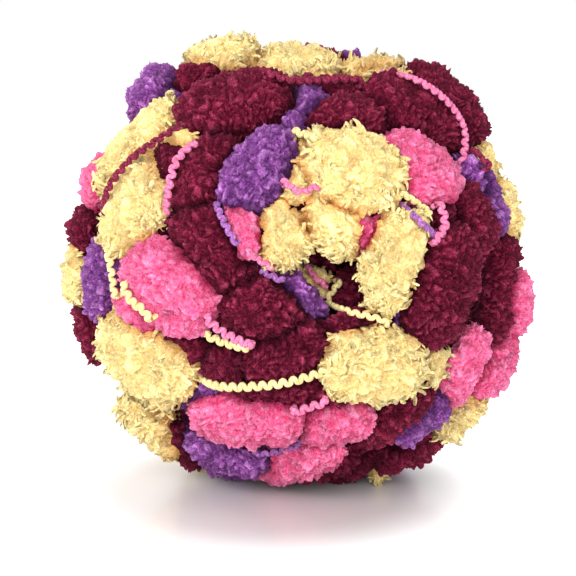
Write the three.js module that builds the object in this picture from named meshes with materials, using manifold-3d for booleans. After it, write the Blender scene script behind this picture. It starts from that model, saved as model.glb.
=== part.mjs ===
// A wound ball of pompom yarn: fat oval pompoms on a thin crimped thread, wound round an open middle.
// Millimetres, +Z up. The ball stands on a small flat spot at z = 0 and its open middle faces -Y.
import * as THREE from "three";
import { mergeVertices } from "three/addons/utils/BufferGeometryUtils.js";
import Module from "manifold-3d";

// Driving sizes of the wound ball, over the pompoms
const HALF_WIDTH = 90;
const HALF_DEPTH = 80;
const HALF_HEIGHT = 88;
const FLATTENED = 3; // how far the weight of the ball presses its underside in

// The middle of the ball, placed so that its footprint is centred on the origin
const MIDDLE = new THREE.Vector3(-0.2, -1.4, HALF_HEIGHT - FLATTENED);

// Pompoms are a little thinner than wide where the winding presses on them
const POMPOM_FLATNESS = 0.82;
const POMPOM_DETAIL = 2;
const SMALLEST_POMPOM = 21; // pompoms of which less than this shows are too small for the solid
const MOST_SLOPE = 0.9; // how steeply a pompom at the rim of the ball may lean away

// The inner turns fill the space under the outer pompoms, down to this depth
const INNER_DEPTH = 9;
const INNER_DETAIL = 5;

// The open middle of the winding: right and up of the ball's middle, its width at the mouth and its depth
const OPENING = { right: 12, up: -4, radius: 26, depth: 48 };
const OPENING_DETAIL = 2;

// The thin crimped thread between pompoms, as wide as its crimps. Its section is a ridge, across and out, that
// roots in the pompoms under it.
const THREAD_SECTION = [[-1.9, -8], [1.9, -8], [2.2, 0.4], [0, 2.2], [-2.2, 0.4]];
const THREAD_STEP = 7;

// Places are measured on an upright plane through the middle of the ball, square to the line of sight of
// an eye in front of it, and carried along that sight onto the surface of the ball.
const EYE_DISTANCE = 617;
const EYE_ELEVATION = THREE.MathUtils.degToRad(8);
const SIGHT = new THREE.Vector3(0, Math.cos(EYE_ELEVATION), -Math.sin(EYE_ELEVATION));
const RIGHT = new THREE.Vector3(1, 0, 0);
const UP = new THREE.Vector3().crossVectors(RIGHT, SIGHT);
const EYE = MIDDLE.clone().addScaledVector(SIGHT, -EYE_DISTANCE);
const LEVEL = new THREE.Matrix4();

// The pompoms that face the eye. right and up give the place, turn is the angle of the long axis from level,
// long and wide are full sizes, and sink is how far the pompom lies below the surface of the ball.
const FRONT_COLUMNS = ["dye", "right", "up", "turn", "long", "wide", "sink"];
const FRONT_POMPOMS = [
  // across the top
  ["cream", -30, 81, 4, 32, 20, 4],
  ["cream", -2, 77, -6, 38, 22, 2],
  ["cream", 29, 76, 4, 34, 18, 3],
  ["wine", 12, 80, -10, 22, 14, 4],
  ["violet", 20, 80, 40, 14, 10, 6],
  ["wine", -41, 72, 15, 34, 20, 3],
  ["violet", -57, 68, 60, 27, 18, 3],
  ["violet", -48, 64, 30, 22, 12, 5],
  ["wine", -24, 62, 10, 44, 29, -1],
  ["violet", 3, 61, 70, 26, 15, 5],
  ["wine", 14, 69, 0, 34, 12, 7],
  ["violet", -52, 58, 32, 34, 24, 7],
  ["wine", -28, 73, -8, 38, 26, 6],
  ["wine", 1, 71, 14, 38, 26, 7],
  ["cream", 32, 71, -4, 36, 25, 7],
  ["wine", 19, 58, 5, 30, 18, 3],
  ["wine", 46, 59, -20, 44, 30, -1],
  ["wine", 58, 64, -48, 44, 24, 3],
  // down the left
  ["cream", -62, 46, 46, 46, 22, 1],
  ["cream", -47, 50, 0, 15, 10, 4],
  ["wine", -51, 39, 60, 25, 18, 4],
  ["wine", -35, 36, 68, 34, 24, 4],
  ["violet", -15, 37, 52, 35, 24, 2],
  ["pink", -78, 32, 80, 28, 16, 3],
  ["cream", -61, 22, 65, 42, 31, 1],
  ["wine", -83, 13, 65, 25, 18, 2],
  ["cream", -86, -3, 95, 26, 16, 2],
  ["violet", -77, -7, 88, 33, 16, 3],
  ["violet", -70, -3, 85, 16, 9, 6],
  ["wine", -81, -25, -68, 28, 16, 3],
  ["wine", -33, 7, -60, 37, 27, 4],
  ["pink", -50, -9, -38, 41, 29, 0],
  ["pink", -64, -18, -45, 24, 13, 5],
  ["wine", -48, -27, -38, 32, 12, 7],
  ["cream", -57, -36, -30, 47, 34, 0],
  // round the open middle
  ["cream", 1, 37, 80, 26, 18, 6],
  ["cream", 22, 37, -20, 38, 30, 0],
  ["pink", 47, 35, -42, 38, 30, 3],
  ["cream", -8, 14, -65, 28, 24, 8],
  ["cream", 15, 18, -45, 29, 23, 8],
  ["pink", 28, 14, -60, 22, 17, 9],
  ["cream", 39, 2, 72, 37, 22, 3],
  ["pink", -22, 15, -82, 25, 12, 5],
  ["violet", -4, -11, -45, 30, 16, 15],
  ["wine", 22, -11, 60, 23, 17, 30],
  ["wine", 10, 4, 10, 26, 18, 44],
  ["cream", 8, -10, -50, 20, 12, 34],
  ["wine", -15, -19, -38, 34, 25, 6],
  ["violet", -34, -31, 0, 18, 11, 10],
  ["wine", -27, -39, 0, 22, 15, 6],
  ["wine", -6, -35, 12, 38, 22, 5],
  ["wine", 18, -29, 22, 34, 17, 8],
  // down the right
  ["wine", 56, 20, 70, 26, 20, 6],
  ["wine", 68, 19, -65, 27, 20, 3],
  ["violet", 70, 33, -48, 25, 16, 4],
  ["violet", 77, 25, -72, 28, 12, 3],
  ["cream", 73, 42, -60, 19, 13, 3],
  ["cream", 81, 22, -80, 25, 15, 2],
  ["violet", 42, -14, -70, 28, 13, 8],
  ["wine", 56, -8, 72, 46, 30, 0],
  ["wine", 78, -9, 86, 44, 25, 1],
  ["pink", 86, -16, -86, 32, 17, 2],
  ["pink", 64, -40, 68, 35, 21, 2],
  ["pink", 78, -40, 55, 29, 18, 2],
  ["cream", 54, -39, 80, 15, 10, 5],
  ["cream", 65, -58, 42, 27, 17, 4],
  // across the bottom
  ["cream", 30, -40, -3, 38, 28, -2],
  ["wine", 1, -51, 2, 44, 17, 5],
  ["violet", -37, -53, 30, 22, 14, 5],
  ["cream", -56, -57, -20, 27, 17, 4],
  ["cream", -56, -64, -44, 34, 20, 4],
  ["wine", -45, -71, -64, 27, 16, 1],
  ["violet", -28, -74, -12, 40, 20, 0],
  ["pink", -19, -61, -2, 44, 22, 0],
  ["pink", 15, -62, 10, 29, 20, 1],
  ["wine", 38, -58, 35, 33, 21, 2],
  ["violet", 49, -61, 32, 25, 15, 1],
  ["pink", 0, -77, 20, 42, 20, 0],
  ["wine", 24, -78, 25, 38, 18, 1],
  ["wine", 44, -73, 22, 33, 17, 3],
  ["cream", 35, -79, 55, 17, 10, 1],
].map((row) => named(FRONT_COLUMNS, row));

// The pompoms that the ball stands on, by their place on the floor
const UNDER_COLUMNS = ["dye", "x", "y", "turn", "long", "wide", "sink"];
const UNDER_POMPOMS = [
  ["wine", 0, 0, 18, 42, 30, 0],
  ["cream", 4, 29, 8, 40, 27, -5],
  ["violet", 36, 14, 70, 40, 26, -6.5],
  ["wine", 34, -17, 160, 38, 27, -1],
  ["wine", 14, -24, 20, 40, 25, 1.5],
  ["violet", -34, -14, 20, 40, 26, -1],
  ["cream", -35, 20, 118, 38, 27, -7],
].map((row) => named(UNDER_COLUMNS, row));
const UNDER_ANGLE = 30; // the rings behind leave this much round the point straight below the middle free

// The rings of pompoms round the side and back, by their angle from the line to the eye
const BACK_RINGS = [
  { angle: 101, count: 12, lean: 28, sink: 2 },
  { angle: 119, count: 11, lean: -24, sink: 1 },
  { angle: 138, count: 9, lean: 30, sink: 1 },
  { angle: 157, count: 5, lean: -20, sink: 2 },
  { angle: 180, count: 1, lean: 10, sink: 3 },
];
const BACK_DYES = ["wine", "cream", "wine", "pink", "violet", "wine", "pink", "cream", "wine", "violet", "cream"];
const BACK_LONG = 44;
const BACK_WIDE = 30;
const BACK_SWAY = 3; // how much the rings wander in and out and their pompoms differ, in mm

// The lengths of thread that show between pompoms, as right, up and the lift above the pompoms under it
const THREADS = [
  ["bottom rim", [[-38, -46, -2], [-28, -47, 1], [-8, -46, 1], [8, -42, 1], [17, -40, -2]]],
  ["upper left", [[-45, 56, -2], [-56, 46, 1], [-64, 40, 1], [-72, 30, 1], [-77, 21, -2]]],
  ["left of the wine pompom", [[-41, 48, -2], [-46, 40, 1], [-49, 30, 1], [-52, 20, -2]]],
  ["right rim", [[34, 76, -2], [45, 71, 1], [57, 63, 1], [64, 52, 1], [66, 42, -2]]],
];

function named(columns, row) {
  return Object.fromEntries(row.map((value, i) => [columns[i], value]));
}

// The half sizes of the ball at a depth below its surface
function shell(depth) {
  return new THREE.Vector3(HALF_WIDTH - depth, HALF_DEPTH - depth, HALF_HEIGHT - depth);
}

// Where a ray from the eye meets an oval of these half sizes, or the nearest to it where the ray misses
function meeting(ray, place, axes, half) {
  const toUnit = new THREE.Matrix4().makeScale(half.x, half.y, half.z).premultiply(axes).setPosition(place).invert();
  const from = EYE.clone().applyMatrix4(toUnit);
  const along = EYE.clone().add(ray).applyMatrix4(toUnit).sub(from);
  const a = along.dot(along);
  const b = from.dot(along);
  const inside = b * b - a * (from.dot(from) - 1);
  return { misses: inside < 0, distance: (-b - Math.sqrt(Math.max(0, inside))) / a };
}

function sightThrough(right, up) {
  return MIDDLE.clone().addScaledVector(RIGHT, right).addScaledVector(UP, up).sub(EYE).normalize();
}

// The point of the ball at this depth that the eye sees at (right, up), or the nearest to it past the rim
function onBall(right, up, depth) {
  const ray = sightThrough(right, up);
  return EYE.clone().addScaledVector(ray, meeting(ray, MIDDLE, LEVEL, shell(depth)).distance);
}

function outwardAt(point) {
  const half = shell(0);
  return point.clone().sub(MIDDLE).divide(half).divide(half).normalize();
}

// A pompom's own axes: long, wide and outward
function axesFrom(long, out) {
  const wide = new THREE.Vector3().crossVectors(out, long).normalize();
  return new THREE.Matrix4().makeBasis(long, wide, new THREE.Vector3().crossVectors(long, wide));
}

function axesFacingEye(point, turn) {
  const out = outwardAt(point);
  const angle = THREE.MathUtils.degToRad(turn);
  const seen = RIGHT.clone().multiplyScalar(Math.cos(angle)).addScaledVector(UP, Math.sin(angle));
  const facing = Math.max(0.2, -SIGHT.dot(out));
  const slope = THREE.MathUtils.clamp(seen.dot(out) / facing, -MOST_SLOPE, MOST_SLOPE);
  return axesFrom(seen.addScaledVector(SIGHT, slope).normalize(), out);
}

// How deep the middle of a pompom lies
function depthOf(pompom) {
  return (pompom.wide * POMPOM_FLATNESS) / 2 + pompom.sink;
}

function frontPompom(row) {
  const place = onBall(row.right, row.up, depthOf(row));
  return { ...row, place, axes: axesFacingEye(place, row.turn) };
}

function underPompom(row) {
  const half = shell(depthOf(row));
  const fromMiddle = new THREE.Vector3(row.x, row.y, 0).sub(MIDDLE).setZ(0);
  const down = Math.sqrt(1 - fromMiddle.clone().divide(half).lengthSq());
  const place = MIDDLE.clone().add(fromMiddle.setZ(-half.z * down));
  const out = outwardAt(place);
  const angle = THREE.MathUtils.degToRad(row.turn);
  const level = new THREE.Vector3(Math.cos(angle), Math.sin(angle), 0);
  return { ...row, place, axes: axesFrom(level.projectOnPlane(out).normalize(), out) };
}

function backPompom(ring, index, serial) {
  const clock = (2 * Math.PI * (index + 0.5 * (ring.angle % 2))) / ring.count;
  const fromSight = THREE.MathUtils.degToRad(ring.angle + BACK_SWAY * Math.sin(2.4 * serial));
  const outward = SIGHT.clone()
    .multiplyScalar(-Math.cos(fromSight))
    .addScaledVector(RIGHT, Math.sin(fromSight) * Math.cos(clock))
    .addScaledVector(UP, Math.sin(fromSight) * Math.sin(clock));
  const long = BACK_LONG + BACK_SWAY * Math.sin(1.7 * serial);
  const wide = BACK_WIDE + BACK_SWAY * Math.cos(2.9 * serial);
  const half = shell(depthOf({ wide, sink: ring.sink }));
  const place = MIDDLE.clone().addScaledVector(outward, 1 / outward.clone().divide(half).length());
  const out = outwardAt(place);
  const round = new THREE.Vector3().crossVectors(SIGHT, out).normalize();
  round.applyAxisAngle(out, THREE.MathUtils.degToRad(ring.lean + 4 * BACK_SWAY * Math.sin(3.1 * serial)));
  return { dye: BACK_DYES[serial % BACK_DYES.length], long, wide, place, axes: axesFrom(round, out) };
}

function allPompoms() {
  const pompoms = [...FRONT_POMPOMS.map(frontPompom), ...UNDER_POMPOMS.map(underPompom)];
  const free = -Math.cos(THREE.MathUtils.degToRad(UNDER_ANGLE));
  for (const ring of BACK_RINGS) {
    for (let i = 0; i < ring.count; i++) {
      const pompom = backPompom(ring, i, pompoms.length);
      if (pompom.place.clone().sub(MIDDLE).normalize().z > free) pompoms.push(pompom);
    }
  }
  return pompoms.filter(({ long }) => long >= SMALLEST_POMPOM);
}

function halfSizes({ long, wide }) {
  return new THREE.Vector3(long, wide, wide * POMPOM_FLATNESS).multiplyScalar(0.5);
}

const POMPOMS = allPompoms();

// A closed mesh with its shared vertices merged
function merged(geometry) {
  geometry.deleteAttribute("normal");
  geometry.deleteAttribute("uv");
  return mergeVertices(geometry, 1e-4);
}

function ovalGeometry(detail, half, axes, place) {
  const sphere = merged(new THREE.OctahedronGeometry(1, detail));
  return sphere.scale(half.x, half.y, half.z).applyMatrix4(axes).translate(place.x, place.y, place.z);
}

// The point that the eye sees at (right, up), lifted off the surface by this much
function onPompoms(right, up, lift) {
  const ray = sightThrough(right, up);
  const seen = POMPOMS.map((pompom) => meeting(ray, pompom.place, pompom.axes, halfSizes(pompom)));
  seen.push(meeting(ray, MIDDLE, LEVEL, shell(INNER_DEPTH)));
  const nearest = Math.min(...seen.filter(({ misses }) => !misses).map(({ distance }) => distance));
  const point = EYE.clone().addScaledVector(ray, nearest);
  return point.addScaledVector(outwardAt(point), lift);
}

// A length of thread, made straight and then bent along its route
function threadGeometry(places) {
  const route = new THREE.CatmullRomCurve3(places.map((place) => onPompoms(...place)));
  const section = new THREE.Shape(THREAD_SECTION.map(([across, out]) => new THREE.Vector2(across, out)));
  const steps = Math.round(route.getLength() / THREAD_STEP);
  const geometry = merged(new THREE.ExtrudeGeometry(section, { steps, depth: 1, bevelEnabled: false }));
  const position = geometry.attributes.position;
  for (let i = 0; i < position.count; i++) {
    const point = route.getPointAt(position.getZ(i));
    const out = outwardAt(point);
    const across = new THREE.Vector3().crossVectors(out, route.getTangentAt(position.getZ(i))).normalize();
    point.addScaledVector(across, position.getX(i)).addScaledVector(out, position.getY(i));
    position.setXYZ(i, point.x, point.y, point.z);
  }
  return geometry;
}

const wasm = await Module();
wasm.setup();

function solidFrom(geometry) {
  const solid = new wasm.Manifold(
    new wasm.Mesh({
      numProp: 3,
      vertProperties: geometry.attributes.position.array,
      triVerts: new Uint32Array(geometry.index.array),
    }),
  );
  if (solid.volume() < 0) throw new Error("a piece of the ball is inside out");
  return solid;
}

// The outer surface of a solid, without the surfaces of any pockets closed up between its pieces
function outerGeometry(solid) {
  const { vertProperties, triVerts } = solid.getMesh();
  const joined = Array.from({ length: vertProperties.length / 3 }, (_, i) => i);
  function group(vertex) {
    while (joined[vertex] !== vertex) vertex = joined[vertex] = joined[joined[vertex]];
    return vertex;
  }
  for (let i = 0; i < triVerts.length; i++) joined[group(triVerts[i])] = group(triVerts[i % 3 ? i - 1 : i]);
  let top = 0;
  for (let i = 0; i < joined.length; i++) if (vertProperties[3 * i + 2] > vertProperties[3 * top + 2]) top = i;
  const outer = group(top);
  return new THREE.BufferGeometry()
    .setAttribute("position", new THREE.BufferAttribute(vertProperties, 3))
    .setIndex([...triVerts].filter((vertex) => group(vertex) === outer));
}

// The inner turns with the open middle cut out, then every pompom and thread joined on, cut level at the floor
function woundBall() {
  const wayIn = sightThrough(OPENING.right, OPENING.up);
  const mouth = onBall(OPENING.right, OPENING.up, 0);
  const hollow = new THREE.Vector3(OPENING.depth, OPENING.radius, OPENING.radius);
  let ball = solidFrom(ovalGeometry(INNER_DETAIL, shell(INNER_DEPTH), LEVEL, MIDDLE));
  ball = ball.subtract(solidFrom(ovalGeometry(OPENING_DETAIL, hollow, axesFrom(wayIn, UP), mouth)));
  for (const pompom of POMPOMS) {
    ball = ball.add(solidFrom(ovalGeometry(POMPOM_DETAIL, halfSizes(pompom), pompom.axes, pompom.place)));
  }
  for (const [, places] of THREADS) ball = ball.add(solidFrom(threadGeometry(places)));
  const below = new THREE.BoxGeometry(4 * HALF_WIDTH, 4 * HALF_DEPTH, 2 * HALF_HEIGHT);
  return ball.subtract(solidFrom(merged(below.translate(0, 0, -HALF_HEIGHT))));
}

const material = new THREE.MeshStandardMaterial({ color: 0x7a2348, roughness: 0.95, metalness: 0 });
const ball = new THREE.Mesh(merged(outerGeometry(woundBall())), material);
ball.name = "ball";

const yarn = new THREE.Group();
yarn.add(ball);

export default yarn;
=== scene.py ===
# A wound ball of pompom yarn: plush oval pompoms in wine, cream, pink and violet on a thin crimped thread,
# wound round an open middle. Sizes are in millimetres here, and each mesh is written in metres.
import math

import bpy
import numpy as np
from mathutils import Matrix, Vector


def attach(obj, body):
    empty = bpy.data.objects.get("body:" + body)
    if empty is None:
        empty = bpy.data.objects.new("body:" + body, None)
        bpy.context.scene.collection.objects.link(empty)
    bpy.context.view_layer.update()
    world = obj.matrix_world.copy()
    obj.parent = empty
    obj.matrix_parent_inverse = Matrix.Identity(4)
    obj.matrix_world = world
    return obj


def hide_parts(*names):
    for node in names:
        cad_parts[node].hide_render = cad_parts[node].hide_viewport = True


MM = 0.001
SEEDS = {"order": 3, "slopes": 4, "turns": 7, "pompoms": 11}

# The wound ball over its pompoms, pressed flat underneath by its own weight, with its middle placed so that
# its footprint is centred on the origin
HALF_SIZES = np.array([90.0, 80.0, 88.0])
FLATTENED = 3.0
MIDDLE = np.array([-0.2, -1.4, HALF_SIZES[2] - FLATTENED])
INNER_DEPTH = 13.0  # how far below its surface the turns under the pompoms lie
OPENING = {"right": 12, "up": -4, "radius": 26.0, "depth": 48.0}
HOLLOW_EDGE = 1.02  # how far out from the middle of the hollow a pompom's skin shows, where 1 is its wall
POMPOM_FLATNESS = 0.82  # the thickness of a pompom against its width
MOST_SLOPE = 0.9  # how steeply the long axis of a pompom may run away from the eye
LEAST_FACING = 0.2  # how much a pompom at the rim still counts as facing the eye

# Places are measured on an upright plane through the middle of the ball, square to the line of sight
EYE_DISTANCE = 617.0
EYE_ELEVATION = math.radians(8)
SIGHT = np.array([0.0, math.cos(EYE_ELEVATION), -math.sin(EYE_ELEVATION)])
RIGHT = np.array([1.0, 0.0, 0.0])
UP = np.cross(RIGHT, SIGHT)
EYE = MIDDLE - EYE_DISTANCE * SIGHT
AIM = {"right": -3.5, "up": -9.3}  # the place at the middle of the picture
LENS = 98

# The pompoms that face the eye: place, angle of the long axis, full sizes and depth below the ball's
# surface
FRONT_COLUMNS = ("dye", "right", "up", "turn", "long", "wide", "sink")
FRONT_POMPOMS = [
    # across the top
    ("cream", -30, 81, 4, 32, 20, 4),
    ("cream", -2, 77, -6, 38, 22, 2),
    ("cream", 29, 76, 4, 34, 18, 3),
    ("wine", 12, 80, -10, 22, 14, 4),
    ("violet", 20, 80, 40, 14, 10, 6),
    ("wine", -41, 72, 15, 34, 20, 3),
    ("violet", -57, 68, 60, 27, 18, 3),
    ("violet", -48, 64, 30, 22, 12, 5),
    ("wine", -24, 62, 10, 44, 29, -1),
    ("violet", 3, 61, 70, 26, 15, 5),
    ("wine", 14, 69, 0, 34, 12, 7),
    ("violet", -52, 58, 32, 34, 24, 7),
    ("wine", -28, 73, -8, 38, 26, 6),
    ("wine", 1, 71, 14, 38, 26, 7),
    ("cream", 32, 71, -4, 36, 25, 7),
    ("wine", 19, 58, 5, 30, 18, 3),
    ("wine", 46, 59, -20, 44, 30, -1),
    ("wine", 58, 64, -48, 44, 24, 3),
    # down the left
    ("cream", -62, 46, 46, 46, 22, 1),
    ("cream", -47, 50, 0, 15, 10, 4),
    ("wine", -51, 39, 60, 25, 18, 4),
    ("wine", -35, 36, 68, 34, 24, 4),
    ("violet", -15, 37, 52, 35, 24, 2),
    ("pink", -78, 32, 80, 28, 16, 3),
    ("cream", -61, 22, 65, 42, 31, 1),
    ("wine", -83, 13, 65, 25, 18, 2),
    ("cream", -86, -3, 95, 26, 16, 2),
    ("violet", -77, -7, 88, 33, 16, 3),
    ("violet", -70, -3, 85, 16, 9, 6),
    ("wine", -81, -25, -68, 28, 16, 3),
    ("wine", -33, 7, -60, 37, 27, 4),
    ("pink", -50, -9, -38, 41, 29, 0),
    ("pink", -64, -18, -45, 24, 13, 5),
    ("wine", -48, -27, -38, 32, 12, 7),
    ("cream", -57, -36, -30, 47, 34, 0),
    # round the open middle
    ("cream", 1, 37, 80, 26, 18, 6),
    ("cream", 22, 37, -20, 38, 30, 0),
    ("pink", 47, 35, -42, 38, 30, 3),
    ("cream", -8, 14, -65, 28, 24, 8),
    ("cream", 15, 18, -45, 29, 23, 8),
    ("pink", 28, 14, -60, 22, 17, 9),
    ("cream", 39, 2, 72, 37, 22, 3),
    ("pink", -22, 15, -82, 25, 12, 5),
    ("violet", -4, -11, -45, 30, 16, 15),
    ("wine", 22, -11, 60, 23, 17, 30),
    ("wine", 10, 4, 10, 26, 18, 44),
    ("cream", 8, -10, -50, 20, 12, 34),
    ("wine", -15, -19, -38, 34, 25, 6),
    ("violet", -34, -31, 0, 18, 11, 10),
    ("wine", -27, -39, 0, 22, 15, 6),
    ("wine", -6, -35, 12, 38, 22, 5),
    ("wine", 18, -29, 22, 34, 17, 8),
    # down the right
    ("wine", 56, 20, 70, 26, 20, 6),
    ("wine", 68, 19, -65, 27, 20, 3),
    ("violet", 70, 33, -48, 25, 16, 4),
    ("violet", 77, 25, -72, 28, 12, 3),
    ("cream", 73, 42, -60, 19, 13, 3),
    ("cream", 81, 22, -80, 25, 15, 2),
    ("violet", 42, -14, -70, 28, 13, 8),
    ("wine", 56, -8, 72, 46, 30, 0),
    ("wine", 78, -9, 86, 44, 25, 1),
    ("pink", 86, -16, -86, 32, 17, 2),
    ("pink", 64, -40, 68, 35, 21, 2),
    ("pink", 78, -40, 55, 29, 18, 2),
    ("cream", 54, -39, 80, 15, 10, 5),
    ("cream", 65, -58, 42, 27, 17, 4),
    # across the bottom
    ("cream", 30, -40, -3, 38, 28, -2),
    ("wine", 1, -51, 2, 44, 17, 5),
    ("violet", -37, -53, 30, 22, 14, 5),
    ("cream", -56, -57, -20, 27, 17, 4),
    ("cream", -56, -64, -44, 34, 20, 4),
    ("wine", -45, -71, -64, 27, 16, 1),
    ("violet", -28, -74, -12, 40, 20, 0),
    ("pink", -19, -61, -2, 44, 22, 0),
    ("pink", 15, -62, 10, 29, 20, 1),
    ("wine", 38, -58, 35, 33, 21, 2),
    ("violet", 49, -61, 32, 25, 15, 1),
    ("pink", 0, -77, 20, 42, 20, 0),
    ("wine", 24, -78, 25, 38, 18, 1),
    ("wine", 44, -73, 22, 33, 17, 3),
    ("cream", 35, -79, 55, 17, 10, 1),
]

# The pompoms that the ball stands on, by their place on the floor
UNDER_COLUMNS = ("dye", "x", "y", "turn", "long", "wide", "sink")
UNDER_POMPOMS = [
    ("wine", 0, 0, 18, 42, 30, 0),
    ("cream", 4, 29, 8, 40, 27, -5),
    ("violet", 36, 14, 70, 40, 26, -6.5),
    ("wine", 34, -17, 160, 38, 27, -1),
    ("wine", 14, -24, 20, 40, 25, 1.5),
    ("violet", -34, -14, 20, 40, 26, -1),
    ("cream", -35, 20, 118, 38, 27, -7),
]
UNDER_ANGLE = math.radians(30)  # how far round the foot of the ball they reach, where the rings leave room

# The rings of pompoms round the side and back, by their angle from the line to the eye
RING_COLUMNS = ("angle", "count", "lean", "sink")
BACK_RINGS = [
    (101, 12, 28, 2),
    (119, 11, -24, 1),
    (138, 9, 30, 1),
    (157, 5, -20, 2),
    (180, 1, 10, 3),
]
BACK_DYES = ("wine", "cream", "wine", "pink", "violet", "wine", "pink", "cream", "wine", "violet", "cream")
BACK_LONG = 44
BACK_WIDE = 30
BACK_SWAY = 3  # how far the pompoms of a ring differ from one another, in millimetres or degrees
LEAN_SWAY = 4  # how many times as far they differ in their lean
SWAY_PACES = {"angle": 2.4, "long": 1.7, "wide": 2.9, "lean": 3.1}

# The lengths of thread that show between pompoms, as right, up and lift above what is under them
THREAD_COLUMNS = ("dye", "crimp", "places")
THREADS = [
    ("cream", 1.12, [(-38, -46, -1), (-28, -47, 2.2), (-8, -46, 2.2), (8, -42, 2.2), (17, -40, -1)]),
    ("wine", 1.12, [(-45, 56, -1), (-56, 46, 2.2), (-64, 40, 2.2), (-72, 30, 2.2), (-77, 21, -1)]),
    ("pink", 1.12, [(-41, 48, -1), (-46, 40, 2.2), (-49, 30, 2.2), (-52, 20, -1)]),
    ("pink", 1.12, [(34, 76, -1), (45, 71, 2.2), (57, 63, 2.2), (64, 52, 2.2), (66, 42, -1)]),
    ("wine", 1.12, [(-12, 74, 1.8), (-3, 71, 1.8), (12, 71, 1.8), (24, 71, 1.8)]),
    ("cream", 1.12, [(-73, 5, 1.8), (-72, 0, 1.8), (-71, -6, 1.8), (-70, -12, 1.8)]),
    ("cream", 1.12, [(-67, -8, 1.8), (-64, -14, 1.8), (-59, -18, 1.8), (-57, -21, 1.8)]),
    ("violet", 0.55, [(40, 23, 1.8), (47, 17, 1.8), (53, 11, 1.8)]),
    ("cream", 0.55, [(41, 27, 1.8), (47, 23, 1.8), (51, 20, 1.8)]),
    ("pink", 1.12, [(55, 23, 1.8), (57, 15, 1.8), (53, 9, 1.8)]),
    ("pink", 1.12, [(-35, -21, 1.8), (-27, -27, 1.8), (-18, -31, 1.8)]),
    ("cream", 1.12, [(-35, -27, 1.8), (-28, -30, 1.8), (-20, -32, 1.8)]),
    ("cream", 0.55, [(16, -7, 1.8), (12, -14, 1.8), (20, -18, 1.8), (32, -21, 1.8), (35, -23, 1.8)]),
    ("pink", 0.55, [(4, -1, 1.8), (7, -5, 1.8), (11, -8, 1.8)]),
    ("pink", 0.55, [(-19, 5, 1.8), (-15, 2, 1.8), (-10, -1, 1.8)]),
    ("violet", 0.55, [(-16, -1, 1.8), (-11, -4, 1.8), (-6, -6, 1.8)]),
    ("violet", 0.55, [(-31, 23, 1.8), (-28, 16, 1.8), (-24, 9, 1.8)]),
    ("pink", 0.55, [(-5, 32, 1.8), (1, 28, 1.8), (8, 30, 1.8)]),
    ("cream", 1.12, [(-1, 51, 1.8), (3, 50, 1.8), (7, 49, 1.8)]),
    ("pink", 1.12, [(-1, -57, 1.8), (5, -55, 1.8), (11, -53, 1.8)]),
    ("violet", 1.12, [(-16, -73, 1.8), (-7, -72, 1.8), (1, -70, 1.8)]),
    ("wine", 1.12, [(68, 44, 1.8), (71, 41, 1.8), (74, 38, 1.8)]),
]
THREAD_RADIUS = 0.95
THREAD_SIDES = 8
THREAD_STEP = 0.35
THREAD_ROOT = 4.0  # how deep the ends of a thread go down into the plush
CRIMP_PITCH = 3.7
CRIMP_FULLNESS = 0.17  # how far the crimps lean along the thread, so that they are round at their tops
CRIMP_RISE = 0.3  # how far the thread rises and falls between its crimps

# The plush of each dye: the size of its curls, how far they stretch into strands, their height, how far
# they wave and lean over, and how soft the light is on them
PLUSH_COLUMNS = ("dye", "grain", "stretch", "height", "wave", "lean", "softness")
PLUSH = [
    ("wine", 2.4, 1.2, 3.0, 1.5, 0.8, 0.3),
    ("violet", 2.1, 1.9, 2.8, 1.5, 0.7, 0.3),
    ("pink", 2.1, 2.0, 2.5, 1.4, 0.7, 0.35),
    ("cream", 2.7, 2.0, 3.1, 1.6, 1.0, 0.4),
]
PLUSH_STEP = 0.605  # how far apart the points of a skin are
SUNK_SHARE = 0.75  # how much of a curl's height lies below the form of its pompom
WAVE_SCALE = 0.45  # how fine the waves are against the curls
FINE_SCALE = 1.9  # how many times finer the small curls on the curls are
FINE_SHARE = 0.55  # how high these stand against the curls
CURL_GAIN = 1.9  # how soon a curl reaches its full height
LUMP_SIZE = 9.0
LUMP_HEIGHT = 2.2
HIDDEN_SHARE = 0.9  # a point this far inside another pompom doesn't show
NEIGHBOUR_REACH = 62.0  # pompoms with their middles farther apart than this don't touch
CREASE_WIDTH = 4.0  # how far from its neighbours a pompom rounds over into the crease between them
CREASE_DEPTH = 3.2
MOST_PRESSED = 1.4  # how far a skin is pressed in at most, where 1 is where it meets its neighbour
PAINTED_SHADE_WIDTH = 2.6  # how far from its neighbours a pompom is painted dark, as the shade in the crease between them
SWELL = 1.0  # how far the plush of a pompom spreads past its wound form, along the ball
SQUARENESS = 2.5  # 2 is an oval, and more is fuller at the shoulders
LUMPS = 0.03  # how far the form of a pompom bulges, against its size
LUMP_PACE = 3.2  # how often it bulges
AREA_POWER = 1.6  # the power that works out the area of an oval from its half sizes

# How light the colour is: in the middle, and how far it varies over patches of this size, with the lumps,
# which are painted lighter where they stand out and darker between them as light and shade, and from pompom
# to pompom
TINT_MIDDLE = 0.5
TINT_PATCH_SIZE = 4.0
TINT_PATCHES = 0.7
LUMP_PAINTED_SHADING = 0.6
TINT_POMPOMS = 0.3

# Noise is read at shifted places, so that its uses and the pompoms don't repeat one another
WAVE_SHIFTS = (17.3, 41.9, 73.1)
LEAN_SHIFTS = (3.1, 23.7, 57.9)
FINE_SHIFT = 9.7
TINT_SHIFT = 5.0
POMPOM_SHIFT = 37.0

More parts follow.
